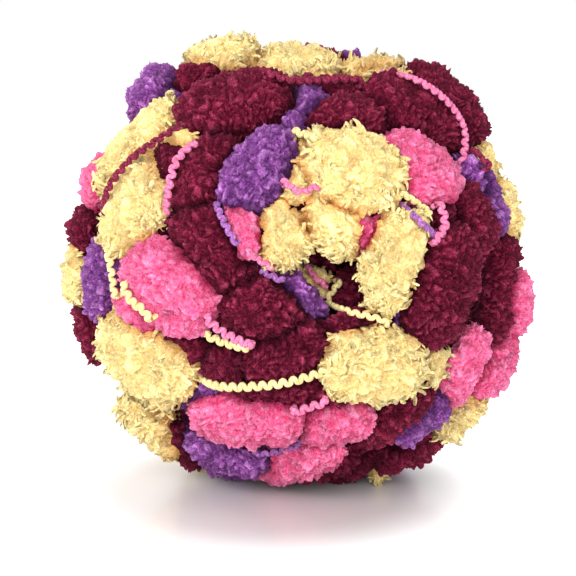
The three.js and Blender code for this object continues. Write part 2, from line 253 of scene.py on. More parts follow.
# Loose tufts, on the inner turns and round the edge of each cream pompom: how far apart, their length,
# radius and flatness, how far along they are widest, how far they curl, lean together and lean apart, how
# far they splay outward from the pompom's middle, and from how near its edge they grow
TUFT_COLUMNS = (
    "where", "spacing", "length", "radius", "flatness", "widest", "curl", "lean", "fray", "splay", "edge"
)
TUFTS = [
    ("turns", 2.1, 1.9, 0.85, 0.8, 0.5, 0.8, 0.5, 0.5, 0, 0),
    ("cream", 1.9, 2.3, 0.8, 0.65, 0.55, 2.1, 0.9, 0.25, 0.75, 0.74),
]
BLUNT = 0.88  # how far along a tuft it starts to close, and how wide it still is there
BLUNT_WIDTH = 0.85
TUFT_SIZES = (0.8, 1.2)  # the least and the most size of a tuft, against its row
TUFT_EDGES = (0.7, 1.2)  # the same for how near the edge it grows
TUFT_BURIED = 0.4  # how deep a tuft is rooted in the skin
CURL_FRAY = 0.7  # how far tufts differ in the way that they curl
MOST_CREASE = 0.8  # no tuft grows deeper in a crease than this
TUFT_SIDES = 4
TUFT_RING_COUNT = 3
TUFT_POINTS = TUFT_RING_COUNT * TUFT_SIDES + 1
ROOT_WIDTH = 0.85
TUFT_SOFTNESS = 0.35  # how far the tufts shade as one soft surface
SWIRL = 9.0  # how far apart the tufts of a pompom change the way they lean
SWIRL_SPREAD = 1.7  # about how long three draws are together, so that SWIRL is a length
CLUMPS = 0.35  # how far tufts are long or short together
CLUMP_SCALE = 1.9  # how many times finer the clumps are than the swirl
CELL_MARGIN = 0.08  # the empty edge of a tuft's own part of the map
TUFT_SHARE = 0.12  # how much of a pompom's map its loose tufts take
TUFT_FILL = 0.95  # how much of that they fill
TUFT_ALONG = 0.35  # the painted shade at the foot of a tuft, from 0 as dark as a root to 1 as light as a tip

# The turns under the pompoms, where they show
CLEAR_ABOVE = (0, 3, 6, 9)  # tufts grow on them only where no pompom lies this far above them
CLEAR_OF_FLOOR = 0.5
TURNS_PAINTED_SHADE_FACTOR = 0.6  # how light their tufts are painted, darker than the rest as the shade deep among the pompoms
TURNS_CREASE_SHADE = 0.75  # how deep in a crease these count as, and so how far they take the painted crease shade
NUDGE = 0.35  # how far each is off its even place, against the spacing

# Colours are linear red, green and blue: the painted shade deep in a crease, then at the root, side and tip
# of a tuft, where the root is painted dark as shade and the tip light as a highlight, and where the light
# grazes it. pits is how much light the fine pits between curls keep under their painted shade
DYE_COLUMNS = ("dye", "crease", "root", "side", "tip", "sheen", "pits")
DYES = [
    (
        "wine",
        (0.03, 0.001, 0.007),
        (0.052, 0.002, 0.011),
        (0.185, 0.012, 0.038),
        (0.36, 0.042, 0.1),
        (0.8, 0.2, 0.32),
        0.3,
    ),
    (
        "cream",
        (0.64, 0.31, 0.09),
        (0.82, 0.53, 0.2),
        (0.87, 0.67, 0.28),
        (0.9, 0.76, 0.38),
        (1.0, 0.95, 0.8),
        0.82,
    ),
    (
        "pink",
        (0.42, 0.015, 0.08),
        (0.76, 0.055, 0.18),
        (0.9, 0.17, 0.35),
        (0.96, 0.28, 0.5),
        (1.0, 0.6, 0.8),
        0.6,
    ),
    (
        "violet",
        (0.05, 0.01, 0.08),
        (0.09, 0.018, 0.12),
        (0.29, 0.08, 0.34),
        (0.52, 0.21, 0.58),
        (0.8, 0.5, 0.95),
        0.45,
    ),
]


def rows(columns, table):
    return [dict(zip(columns, row)) for row in table]


def unit(vector):
    return vector / np.linalg.norm(vector)


def shell(depth):
    """The half sizes of the ball at a depth below its surface."""
    return HALF_SIZES - depth


def meeting(ray, place, axes, half):
    """Whether a ray from the eye misses an oval, and how far along it the two meet or pass."""
    start = (EYE - place) @ axes / half
    along = ray @ axes / half
    a = along @ along
    b = start @ along
    inside = b * b - a * (start @ start - 1)
    return inside < 0, (-b - math.sqrt(max(0.0, inside))) / a


def sight_through(right, up):
    return unit(MIDDLE + right * RIGHT + up * UP - EYE)


def on_ball(right, up, depth):
    """The point of the ball at this depth that the eye sees at (right, up)."""
    ray = sight_through(right, up)
    return EYE + ray * meeting(ray, MIDDLE, np.eye(3), shell(depth))[1]


def outward_at(point):
    return unit((point - MIDDLE) / HALF_SIZES**2)


def axes_from(long, out):
    """A pompom's own axes as columns: long, wide and outward."""
    wide = unit(np.cross(out, long))
    return np.column_stack([long, wide, np.cross(long, wide)])


def axes_facing_eye(point, turn):
    out = outward_at(point)
    angle = math.radians(turn)
    seen = math.cos(angle) * RIGHT + math.sin(angle) * UP
    facing = max(LEAST_FACING, -SIGHT @ out)
    slope = min(MOST_SLOPE, max(-MOST_SLOPE, seen @ out / facing))
    return axes_from(unit(seen + slope * SIGHT), out)


def depth_of(wide, sink):
    return wide * POMPOM_FLATNESS / 2 + sink


def oval_of(dye, long, wide, place, axes):
    half = np.array([long, wide, wide * POMPOM_FLATNESS]) / 2
    return {"dye": dye, "half": half, "place": place, "axes": axes}


def front_pompom(row):
    place = on_ball(row["right"], row["up"], depth_of(row["wide"], row["sink"]))
    return oval_of(row["dye"], row["long"], row["wide"], place, axes_facing_eye(place, row["turn"]))


def under_pompom(row):
    half = shell(depth_of(row["wide"], row["sink"]))
    across = np.array([row["x"] - MIDDLE[0], row["y"] - MIDDLE[1], 0.0])
    across[2] = -half[2] * math.sqrt(1 - np.sum((across / half) ** 2))
    place = MIDDLE + across
    out = outward_at(place)
    angle = math.radians(row["turn"])
    level = np.array([math.cos(angle), math.sin(angle), 0.0])
    axes = axes_from(unit(level - level @ out * out), out)
    return oval_of(row["dye"], row["long"], row["wide"], place, axes)


def back_pompom(ring, index, serial):
    clock = 2 * math.pi * (index + 0.5 * (ring["angle"] % 2)) / ring["count"]
    from_sight = math.radians(ring["angle"] + BACK_SWAY * math.sin(SWAY_PACES["angle"] * serial))
    outward = (
        -math.cos(from_sight) * SIGHT
        + math.sin(from_sight) * math.cos(clock) * RIGHT
        + math.sin(from_sight) * math.sin(clock) * UP
    )
    long = BACK_LONG + BACK_SWAY * math.sin(SWAY_PACES["long"] * serial)
    wide = BACK_WIDE + BACK_SWAY * math.cos(SWAY_PACES["wide"] * serial)
    half = shell(depth_of(wide, ring["sink"]))
    place = MIDDLE + outward / np.linalg.norm(outward / half)
    out = outward_at(place)
    level = unit(np.cross(SIGHT, out))
    lean = math.radians(ring["lean"] + LEAN_SWAY * BACK_SWAY * math.sin(SWAY_PACES["lean"] * serial))
    long_axis = math.cos(lean) * level + math.sin(lean) * np.cross(out, level)
    return oval_of(BACK_DYES[serial % len(BACK_DYES)], long, wide, place, axes_from(long_axis, out))


def all_pompoms():
    pompoms = [front_pompom(row) for row in rows(FRONT_COLUMNS, FRONT_POMPOMS)]
    pompoms += [under_pompom(row) for row in rows(UNDER_COLUMNS, UNDER_POMPOMS)]
    for ring in rows(RING_COLUMNS, BACK_RINGS):
        for index in range(ring["count"]):
            pompom = back_pompom(ring, index, len(pompoms))
            if unit(pompom["place"] - MIDDLE)[2] > -math.cos(UNDER_ANGLE):
                pompoms.append(pompom)
    return pompoms


POMPOMS = all_pompoms()
WAY_IN = sight_through(OPENING["right"], OPENING["up"])
MOUTH = on_ball(OPENING["right"], OPENING["up"], 0)
HOLLOW_AXES = axes_from(WAY_IN, UP)
HOLLOW_HALF = np.array([OPENING["depth"], OPENING["radius"], OPENING["radius"]])


def reach_in(points, place, axes, half):
    """How far out points lie in an oval, from 0 at its middle to 1 at its surface."""
    return np.linalg.norm((points - place) @ axes / half, axis=-1)


def even_points(half, spacing, chance):
    """Points about evenly spaced over an oval, each nudged a little, as directions on the unit sphere."""
    steps = 400
    slices = np.linspace(0, math.pi, steps)
    run = np.hypot(half[0] * np.sin(slices), half[1:].mean() * np.cos(slices)) * math.pi / steps
    length = np.cumsum(run)
    count = max(3, round(length[-1] / spacing))
    found = []
    for along in (np.arange(count) + 0.5) / count * length[-1]:
        angle = np.interp(along, length, slices)
        around = 2 * math.pi * half[1:].mean() * math.sin(angle)
        number = max(3, round(around / spacing))
        turns = (np.arange(number) + chance.random()) / number * 2 * math.pi
        turns = turns + chance.uniform(-NUDGE, NUDGE, number) * 2 * math.pi / number
        angles = angle + chance.uniform(-NUDGE, NUDGE, number) * spacing / half[0]
        aside = np.sin(angles)
        found.append(np.column_stack([np.cos(angles), aside * np.cos(turns), aside * np.sin(turns)]))
    return np.concatenate(found)


def shows(points, owner):
    """Whether each point of a pompom lies outside the inner turns and every other pompom, and how far it
    is from the nearest."""
    seen = reach_in(points, MIDDLE, np.eye(3), shell(INNER_DEPTH)) > 1
    seen |= reach_in(points, MOUTH, HOLLOW_AXES, HOLLOW_HALF) < HOLLOW_EDGE
    gap = np.full(len(points), 2 * CREASE_WIDTH)
    for other in POMPOMS:
        if other is not owner and np.linalg.norm(other["place"] - owner["place"]) < NEIGHBOUR_REACH:
            half = other["half"] + [SWELL, SWELL, 0]
            reach = reach_in(points, other["place"], other["axes"], half)
            seen &= reach > HIDDEN_SHARE
            gap = np.minimum(gap, (reach - 1) * half[1:].mean())
    return seen, gap


# What noise is made of: numbers in a shuffled order, and a slope for each. Their count is a power of 2
NOISE_CELLS = 256
SHUFFLED = np.random.default_rng(SEEDS["order"]).permutation(NOISE_CELLS)
SLOPES = np.random.default_rng(SEEDS["slopes"]).normal(0, 1, (NOISE_CELLS, 3))
SLOPES /= np.linalg.norm(SLOPES, axis=1)[:, None]


def noise(points):
    """Smooth noise between about -0.7 and 0.7, that turns over once in about every 2 units."""
    base = np.floor(points).astype(int)
    part = points - base
    ease = part**3 * (part * (part * 6 - 15) + 10)
    total = np.zeros(len(points))
    for corner in np.ndindex(2, 2, 2):
        cell = (base + corner) & (NOISE_CELLS - 1)
        picked = SHUFFLED[SHUFFLED[SHUFFLED[cell[:, 0]] ^ cell[:, 1]] ^ cell[:, 2]]
        weight = np.prod(np.where(corner, ease, 1 - ease), axis=1)
        total += weight * np.sum((part - corner) * SLOPES[picked], axis=1)
    return total


def curls_at(points, style):
    """How high the curled plush stands at points along a pompom's own axes, from 0 in its pits to 1."""
    waved = points / style["grain"]
    drift = [noise(WAVE_SCALE * waved + shift) for shift in WAVE_SHIFTS]
    waved = (waved + style["wave"] * np.stack(drift, axis=1)) / [style["stretch"], 1, 1]
    high = np.abs(noise(waved)) + FINE_SHARE * np.abs(noise(FINE_SCALE * waved + FINE_SHIFT))
    return np.minimum(1, CURL_GAIN * high)


def swirl(points, chance):
    """A smooth field of directions that changes over a few tufts."""
    waves = chance.normal(0, 1, (3, 3)) * 2 * math.pi / SWIRL / SWIRL_SPREAD
    phases = chance.uniform(0, 2 * math.pi, 3)
    return np.sin(points @ waves.T + phases)


def tuft_template(sides):
    """One tuft's rings as faces of vertex numbers and their places on its part of the map."""
    rings = TUFT_RING_COUNT
    quads = []
    quad_map = []
    for ring in range(rings - 1):
        low = ring / rings
        high = (ring + 1) / rings
        for side in range(sides):
            after = (side + 1) % sides
            base = ring * sides
            quads.append([base + side, base + after, base + sides + after, base + sides + side])
            left = side / sides
            right = (side + 1) / sides
            quad_map.append([[left, low], [right, low], [right, high], [left, high]])
    last = (rings - 1) * sides
    high = (rings - 1) / rings
    points = [[last + side, last + (side + 1) % sides, rings * sides] for side in range(sides)]
    point_map = [
        [[side / sides, high], [(side + 1) / sides, high], [(side + 0.5) / sides, 1.0]]
        for side in range(sides)
    ]
    return np.array(quads), np.array(quad_map), np.array(points), np.array(point_map)


def tuft_vertices(roots, leans, curls, normals, style, scale):
    """Every tuft's rings and tip, and the way that each point of it faces. leans are the directions that
    the tufts grow in, curls the way that they bend over, and normals those of the pompom under them."""
    curls = curls - np.sum(curls * leans, 1)[:, None] * leans
    curls = curls / np.linalg.norm(curls, axis=1)[:, None]
    across = np.cross(leans, curls)
    angles = (np.arange(TUFT_SIDES) + 0.5) / TUFT_SIDES * 2 * math.pi
    over = np.cos(angles)[None, :, None]
    aside = np.sin(angles)[None, :, None] * across[:, None, :]
    ways = over * curls[:, None, :] + aside
    spread = style["flatness"] * over * curls[:, None, :] + aside
    points = []
    facing = []
    for along, width in ((0.0, ROOT_WIDTH), (style["widest"], 1.0), (BLUNT, BLUNT_WIDTH)):
        centre = roots + leans * (style["length"] * along * scale)[:, None]
        centre = centre + curls * (style["curl"] * along**2 * scale)[:, None]
        points.append(centre[:, None, :] + spread * (style["radius"] * width * scale)[:, None, None])
        facing.append(ways)
    tip = roots + leans * (style["length"] * scale)[:, None] + curls * (style["curl"] * scale)[:, None]
    points.append(tip[:, None, :])
    facing.append(leans[:, None, :])
    own = np.concatenate(facing, axis=1)
    soft = TUFT_SOFTNESS * normals[:, None, :] + (1 - TUFT_SOFTNESS) * own
    return np.concatenate(points, axis=1), soft / np.linalg.norm(soft, axis=2)[:, :, None]


def oval_grid(half, rings, segments):
    """A closed oval as vertices and faces, its poles at the ends of its long axis."""
    angles = math.pi * (np.arange(rings + 1)) / rings
    turns = 2 * math.pi * np.arange(segments) / segments
    points = np.stack(
        [
            np.repeat(np.cos(angles), segments),
            (np.sin(angles)[:, None] * np.cos(turns)).ravel(),
            (np.sin(angles)[:, None] * np.sin(turns)).ravel(),
        ],
        axis=1,
    )
    faces = []
    for ring in range(rings):
        for segment in range(segments):
            after = (segment + 1) % segments
            base = ring * segments
            faces.append([base + segment, base + segments + segment, base + segments + after, base + after])
    return points * half, np.array(faces)


def write_mesh(name, vertices, faces, attributes, places=None, normals=None, softness=1.0):
    """A mesh in metres from vertices in millimetres. faces and places are lists of arrays, one for each
    size. normals are those of the soft form under the plush, and softness is how far the piece, or each
    point of it, takes them."""
    # Nothing reaches below the surface that the ball stands on
    vertices = vertices.copy()
    vertices[:, 2] = np.maximum(vertices[:, 2], 0)
    mesh = bpy.data.meshes.new(name)
    corners = np.concatenate([group.ravel() for group in faces])
    sizes = np.concatenate([np.full(len(group), group.shape[1]) for group in faces])
    mesh.vertices.add(len(vertices))
    mesh.vertices.foreach_set("co", (vertices * MM).ravel())
    mesh.loops.add(len(corners))
    mesh.loops.foreach_set("vertex_index", corners.astype(np.int32))
    mesh.polygons.add(len(sizes))
    mesh.polygons.foreach_set("loop_start", (np.cumsum(sizes) - sizes).astype(np.int32))
    mesh.polygons.foreach_set("use_smooth", np.ones(len(sizes), bool))
    if places is not None:
        layer = mesh.uv_layers.new(name="OFBake")
        layer.uv.foreach_set("vector", np.concatenate([group.reshape(-1, 2) for group in places]).ravel())
    for label, values in attributes.items():
        mesh.attributes.new(label, "FLOAT", "POINT").data.foreach_set("value", values)
    mesh.update(calc_edges=True)
    mesh.validate()
    if normals is not None:
        own = np.empty(3 * len(vertices))
        mesh.vertex_normals.foreach_get("vector", own)
        share = np.reshape(softness, (-1, 1))
        mixed = share * normals + (1 - share) * own.reshape(-1, 3)
        mesh.normals_split_custom_set_from_vertices(mixed / np.linalg.norm(mixed, axis=1)[:, None])
    piece = bpy.data.objects.new(name, mesh)
    bpy.context.scene.collection.objects.link(piece)
    return piece


def even_shades(count, **shades):
    """The values that colour a piece, its painted shade among them, each the same at all of its points."""
    return {label: np.full(count, value) for label, value in shades.items()}


def dress(piece, dye):
    piece.data.materials.append(MATERIALS[dye])
    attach(piece, "root")
    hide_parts("ball")


def fullness(spheres, waves, phases):
    """How far each direction of a pompom bulges past its oval: full at the shoulders and a little lumpy."""
    along = np.abs(spheres[:, 0])
    around = np.linalg.norm(spheres[:, 1:], axis=1)
    full = (along**SQUARENESS + around**SQUARENESS) ** (-1 / SQUARENESS)
    return full * (1 + LUMPS * np.sin(spheres @ waves.T + phases).mean(axis=1))


def sphere_grid(count_long, count_wide):
    """Even directions over the sphere from a grid on a square, whose middle faces outward and whose edge
    all faces inward, with its faces and their places on the map."""
    lines_long = np.linspace(-1, 1, count_long + 1)
    lines_wide = np.linspace(-1, 1, count_wide + 1)
    a, b = np.meshgrid(lines_long, lines_wide, indexing="ij")
    flat = np.abs(a) > np.abs(b)
    out = np.where(flat, a, b)
    ratio = np.where(flat, b, a) / np.where(out == 0, 1, out)
    angle = np.where(flat, math.pi / 4 * ratio, math.pi / 2 - math.pi / 4 * ratio)
    level = 2 * out * np.sqrt(1 - out**2)
    spheres = np.stack([level * np.cos(angle), level * np.sin(angle), 1 - 2 * out**2], axis=2)
    i, j = np.meshgrid(np.arange(count_long), np.arange(count_wide), indexing="ij")
    corners = [(0, 0), (1, 0), (1, 1), (0, 1)]
    faces = np.stack([(i + di) * (count_wide + 1) + j + dj for di, dj in corners], axis=2).reshape(-1, 4)
    maps = [np.stack([(i + di) / count_long, (j + dj) / count_wide], axis=2) for di, dj in corners]
    return spheres.reshape(-1, 3), faces, np.stack(maps, axis=2).reshape(-1, 4, 2)


def grow_tufts(roots, normals, style, chance):
    """Tufts that swirl together as plush does: their points, the ways these face, their painted shade from
    root to tip and their tint.
    """
    count = len(roots)
    drift = swirl(roots, chance)
    leans = style["lean"] * drift + chance.normal(0, style["fray"], (count, 3))
    leans = leans - np.sum(leans * normals, 1)[:, None] * normals
    leans = leans + normals
    leans = leans / np.linalg.norm(leans, axis=1)[:, None]
    curls = drift + chance.normal(0, CURL_FRAY, (count, 3))
    clump = swirl(CLUMP_SCALE * roots, chance).mean(axis=1)
    scale = chance.uniform(*TUFT_SIZES, count) * (1 + CLUMPS * clump)
    points, facing = tuft_vertices(roots, leans, curls, normals, style, scale)
    size = points.shape[1]
    rings = np.append(np.repeat([0.0, style["widest"], BLUNT], TUFT_SIDES), 1.0)
    along = np.tile(rings, count)
    tint = np.repeat(chance.random(count), size)
    return points.reshape(-1, 3), facing.reshape(-1, 3), along, tint


def tuft_faces(count, first):
    """The faces of this many tufts, whose vertices start at first, with a cell of the map for each."""
    quads, quad_map, points, point_map = tuft_template(TUFT_SIDES)
    starts = first + TUFT_POINTS * np.arange(count)
    columns = math.ceil(math.sqrt(count))
    cells = np.stack([np.arange(count) % columns, np.arange(count) // columns], axis=1)
    faces = []
    places = []
    for corners, cell_map in ((quads, quad_map), (points, point_map)):
        faces.append((starts[:, None, None] + corners[None]).reshape(-1, corners.shape[1]))
        inner = CELL_MARGIN + (1 - 2 * CELL_MARGIN) * cell_map
        spread = (cells[:, None, None, :] + inner[None]) / columns
        places.append(spread.reshape(-1, corners.shape[1], 2))
    return faces, places


def plush_skin(pompom, serial, chance):
    """The skin of a pompom where it shows: full at the shoulders, rounded into the creases, and curled."""
    style = PLUSHES[pompom["dye"]]
    half = pompom["half"] + [SWELL, SWELL, 0]
    pairs = (half[[0, 0, 1]] * half[[1, 2, 2]]) ** AREA_POWER
    count = 4 * math.pi * pairs.mean() ** (1 / AREA_POWER) / PLUSH_STEP**2
    shape = math.sqrt(half[0] / half[1:].mean())
    spheres, faces, places = sphere_grid(round(math.sqrt(count) * shape), round(math.sqrt(count) / shape))
    waves = chance.normal(0, LUMP_PACE, (3, 3))
    phases = chance.uniform(0, 2 * math.pi, 3)
    points = spheres * half * fullness(spheres, waves, phases)[:, None]
    seen, gap = shows(pompom["place"] + points @ pompom["axes"].T, pompom)
    faces_seen = seen[faces].any(axis=1)
    if not faces_seen.any():
        return None
    used = np.unique(faces[faces_seen])
    number = np.zeros(len(points), int)
    number[used] = np.arange(len(used))
    points = points[used]
    gap = gap[used]
    normals = (spheres / half)[used]
    normals = normals / np.linalg.norm(normals, axis=1)[:, None]
    own = points + serial * POMPOM_SHIFT
    high = curls_at(own, style)
    lumps = noise(own / LUMP_SIZE)
    pressed = np.clip(1 - gap / CREASE_WIDTH, 0, MOST_PRESSED) ** 2
    drift = np.stack([noise(own / style["grain"] / 2 + shift) for shift in LEAN_SHIFTS], axis=1)
    raised = style["height"] * (high - SUNK_SHARE) + LUMP_HEIGHT * lumps
    points = points + raised[:, None] * normals + style["lean"] * style["height"] * high[:, None] * drift
    points[:, 2] -= CREASE_DEPTH * pressed
    patches = noise(own / TINT_PATCH_SIZE + TINT_SHIFT)
    own_tint = TINT_POMPOMS * (chance.random() - 0.5)
    # The tint is painted lighter on the lumps that stand out and darker between them, as light and shade
    tint = TINT_MIDDLE + TINT_PATCHES * patches + LUMP_PAINTED_SHADING * lumps + own_tint
    # Painted shade and light: the pits between curls take the dark root colour and the tops of curls the
    # light tip colour
    skin = {"points": points, "normals": normals, "along": high, "tint": tint}
    # Painted shade: a pompom is coloured darker near its neighbours, as the shade in the crease between
    # them
    skin["crease"] = np.clip(1 - gap / PAINTED_SHADE_WIDTH, 0, 1)
    return skin, number[faces[faces_seen]], places[faces_seen]


def loose_tufts(pompom, skin, style, chance):
    """Where loose tufts grow round the edge of a pompom, which way, and how deep in a crease, which sets
    their painted crease shade.
    """
    per_tuft = style["spacing"] ** 2 / PLUSH_STEP**2
    from_middle = skin["points"] / pompom["half"] * [1, 1, 0]
    out = np.linalg.norm(from_middle, axis=1)
    picked = chance.random(len(out)) < 1 / per_tuft
    picked &= (skin["crease"] < MOST_CREASE) & (out > style["edge"] * chance.uniform(*TUFT_EDGES, len(out)))
    normals = skin["normals"] + style["splay"] * from_middle
    return skin["points"][picked], normals[picked], skin["crease"][picked]


def build_pompom(pompom, serial):
    chance = np.random.default_rng(serial + SEEDS["pompoms"])
    made = plush_skin(pompom, serial, chance)
    if made is None:
        return None
    skin, faces, places = made
    places[..., 1] = TUFT_SHARE + (1 - TUFT_SHARE) * places[..., 1]
    groups = [faces]
    maps = [places]
    count = len(skin["points"])
    points, along, tint, crease = skin["points"], skin["along"], skin["tint"], skin["crease"]
    soft = skin["normals"]
    style = TUFT_STYLES.get(pompom["dye"])
    if style:
        roots, normals, root_painted_shade = loose_tufts(pompom, skin, style, chance)
        normals = normals / np.linalg.norm(normals, axis=1)[:, None]
        buried = roots - TUFT_BURIED * normals
        tufts, facing, tuft_along, tuft_tint = grow_tufts(buried, normals, style, chance)
        tuft_groups, tuft_maps = tuft_faces(len(roots), count)
        for cells in tuft_maps:
            cells[..., 1] *= TUFT_FILL * TUFT_SHARE
        groups += tuft_groups
        maps += tuft_maps
        points = np.concatenate([points, tufts])
        soft = np.concatenate([soft, facing])
        # A tuft is painted dark at its foot and light at its tip, as shade and a highlight
        along = np.concatenate([along, TUFT_ALONG + (1 - TUFT_ALONG) * tuft_along])
        tint = np.concatenate([tint, tuft_tint])
        # Each tuft takes the painted crease shade of the skin at its root
        crease = np.concatenate([crease, np.repeat(root_painted_shade, TUFT_POINTS)])
    vertices = pompom["place"] + points @ pompom["axes"].T
    name = f"pompom_{serial:03d}_{pompom['dye']}"
    softness = np.full(len(points), 1.0)
    softness[:count] = PLUSHES[pompom["dye"]]["softness"]
    attributes = {"along": along, "tint": np.clip(tint, 0, 1), "crease": crease}
    return write_mesh(name, vertices, groups, attributes, maps, soft @ pompom["axes"].T, softness)


def build_inner_plush():
    """The plush of the turns that show between pompoms and round the wall of the open middle."""
    chance = np.random.default_rng(SEEDS["turns"])
    style = TUFT_STYLES["turns"]
    half = shell(INNER_DEPTH)
    outer = even_points(half, style["spacing"], chance)
    outer_points = MIDDLE + outer * half
    open_here = reach_in(outer_points, MOUTH, HOLLOW_AXES, HOLLOW_HALF) < 1
    outer_normals = outer / half
    wall = even_points(HOLLOW_HALF, style["spacing"], chance)
    wall_points = MOUTH + (wall * HOLLOW_HALF) @ HOLLOW_AXES.T
    buried = reach_in(wall_points, MIDDLE, np.eye(3), half) < 1
    wall_normals = -(wall / HOLLOW_HALF) @ HOLLOW_AXES.T
    roots = np.concatenate([outer_points[~open_here], wall_points[buried]])
    normals = np.concatenate([outer_normals[~open_here], wall_normals[buried]])
    clear = np.ones(len(roots), bool)
    for pompom in POMPOMS:
        for above in CLEAR_ABOVE:
            points = roots + above * normals / np.linalg.norm(normals, axis=1)[:, None]
            clear &= reach_in(points, pompom["place"], pompom["axes"], pompom["half"]) > 1
    clear &= roots[:, 2] > CLEAR_OF_FLOOR
    roots = roots[clear]
    normals = normals[clear]
    normals = normals / np.linalg.norm(normals, axis=1)[:, None]
    points, facing, along, tint = grow_tufts(roots, normals, style, chance)
    faces, places = tuft_faces(len(roots), 0)
    # The inner tufts are painted darker and deep in crease shade, as the shade far down among the pompoms
    shades = {"along": TURNS_PAINTED_SHADE_FACTOR * along, "tint": TURNS_PAINTED_SHADE_FACTOR * tint}
    shades["crease"] = np.full(len(points), TURNS_CREASE_SHADE)
    return write_mesh("inner_plush", points, faces, shades, places, facing)


def on_pompoms(right, up, lift):
    """The point that the eye sees at (right, up), lifted off the surface by this much."""
    ray = sight_through(right, up)
    met = [meeting(ray, pompom["place"], pompom["axes"], pompom["half"] + SWELL) for pompom in POMPOMS]
    if reach_in(MOUTH, on_ball(right, up, 0), HOLLOW_AXES, HOLLOW_HALF) > 1:
        met.append(meeting(ray, MIDDLE, np.eye(3), shell(INNER_DEPTH)))
    nearest = min(distance for misses, distance in met if not misses)
    point = EYE + ray * nearest
    return point + lift * outward_at(point)


def smooth_route(points, step):
    """Points a step apart along a smooth curve through these."""
    points = np.array(points)
    ends = np.concatenate([[2 * points[0] - points[1]], points, [2 * points[-1] - points[-2]]])
    divisions = 60
    pieces = []
    for i in range(len(points) - 1):
        a, b, c, d = ends[i : i + 4]
        t = np.linspace(0, 1, divisions, endpoint=i == len(points) - 2)[:, None]
        squared = (2 * a - 5 * b + 4 * c - d) * t**2
        cubed = (3 * b - a - 3 * c + d) * t**3
        pieces.append(0.5 * (2 * b + (c - a) * t + squared + cubed))
    fine = np.concatenate(pieces)
    length = np.concatenate([[0], np.cumsum(np.linalg.norm(np.diff(fine, axis=0), axis=1))])
    stops = np.arange(0, length[-1], step)
    return np.column_stack([np.interp(stops, length, fine[:, axis]) for axis in range(3)]), stops


def thread_stops(places):
    """The points that a thread follows, out of the plush at one end and back into it at the other."""
    points = [on_pompoms(*place) for place in places]
    first = points[0] - THREAD_ROOT * outward_at(points[0])
    last = points[-1] - THREAD_ROOT * outward_at(points[-1])
    return [first, *points, last]


def build_thread(row, serial):
    """A round thread, crimped from side to side as it lies on the pompoms."""
    route, stops = smooth_route(thread_stops(row["places"]), THREAD_STEP)
    tangents = np.gradient(route, axis=0)
    outs = np.array([outward_at(point) for point in route])
    across = np.cross(outs, tangents)
    across = across / np.linalg.norm(across, axis=1)[:, None]
    phase = 2 * math.pi * stops / CRIMP_PITCH
    lean = -CRIMP_FULLNESS * np.sin(2 * phase)
    crimped = route + row["crimp"] * np.sin(phase)[:, None] * across
    crimped += CRIMP_RISE * np.cos(2 * phase)[:, None] * outs
    crimped += lean[:, None] * tangents / np.linalg.norm(tangents, axis=1)[:, None]
    ways = np.gradient(crimped, axis=0)
    ways = ways / np.linalg.norm(ways, axis=1)[:, None]
    side = np.cross(outs, ways)
    side = side / np.linalg.norm(side, axis=1)[:, None]
    top = np.cross(ways, side)
    angles = np.arange(THREAD_SIDES) / THREAD_SIDES * 2 * math.pi
    spokes = np.cos(angles)[None, :, None] * side[:, None] + np.sin(angles)[None, :, None] * top[:, None]
    rings = crimped[:, None] + THREAD_RADIUS * spokes
    count = len(route)
    vertices = np.concatenate([rings.reshape(-1, 3), crimped[:1], crimped[-1:]])
    sides = np.arange(THREAD_SIDES)
    after = (sides + 1) % THREAD_SIDES
    starts = THREAD_SIDES * np.arange(count - 1)[:, None]
    further = starts + THREAD_SIDES
    quads = np.stack([starts + sides, starts + after, further + after, further + sides], 2)
    last = THREAD_SIDES * (count - 1)
    first_cap = np.stack([after, sides, np.full(THREAD_SIDES, last + THREAD_SIDES)], 1)
    last_cap = np.stack([last + sides, last + after, np.full(THREAD_SIDES, last + THREAD_SIDES + 1)], 1)
    faces = [quads.reshape(-1, 4), np.concatenate([first_cap, last_cap])]
    shades = even_shades(len(vertices), along=0.85, tint=0.6, crease=0.0)
    return write_mesh(f"thread_{serial:02d}_{row['dye']}", vertices, faces, shades)


def build_inner_turns():
    """The turns under the outer pompoms, with the hollow of the open middle pressed into them."""
    points, faces = oval_grid(shell(INNER_DEPTH), rings=60, segments=120)
    points = MIDDLE + points
    local = (points - MOUTH) @ HOLLOW_AXES / HOLLOW_HALF
    round_axis = np.linalg.norm(local[:, 1:], axis=1)
    depth = np.sqrt(np.maximum(0, 1 - round_axis**2))
    inside = (round_axis < 1) & (points[:, 1] < MIDDLE[1]) & (local[:, 0] < depth)
    local[inside, 0] = depth[inside]
    points = MOUTH + (local * HOLLOW_HALF) @ HOLLOW_AXES.T
    # Painted shade: the turns take the crease colour all over, as the shade deep under the pompoms
    shades = even_shades(len(points), along=0.25, tint=0.3, crease=1.0)
    return write_mesh("inner_turns", points, [faces], shades)


def new_material(name):
    material = bpy.data.materials.new(name)
    material.use_nodes = True
    return material, material.node_tree, material.node_tree.nodes["Principled BSDF"]


def point_value(tree, name):
    """The value that each point of a piece carries under this name."""
    node = tree.nodes.new("ShaderNodeAttribute")
    node.attribute_name = name
    return node.outputs["Fac"]


def object_place(tree):
    return tree.nodes.new("ShaderNodeTexCoord").outputs["Object"]


def grain_of(tree, place, scale, detail, roughness=0.5, distortion=0.0):
    """Noise over the piece, finer with more scale."""
    node = tree.nodes.new("ShaderNodeTexNoise")
    node.inputs["Scale"].default_value = scale
    node.inputs["Detail"].default_value = detail
    node.inputs["Roughness"].default_value = roughness
    node.inputs["Distortion"].default_value = distortion
    tree.links.new(place, node.inputs["Vector"])
    return node.outputs["Fac"]


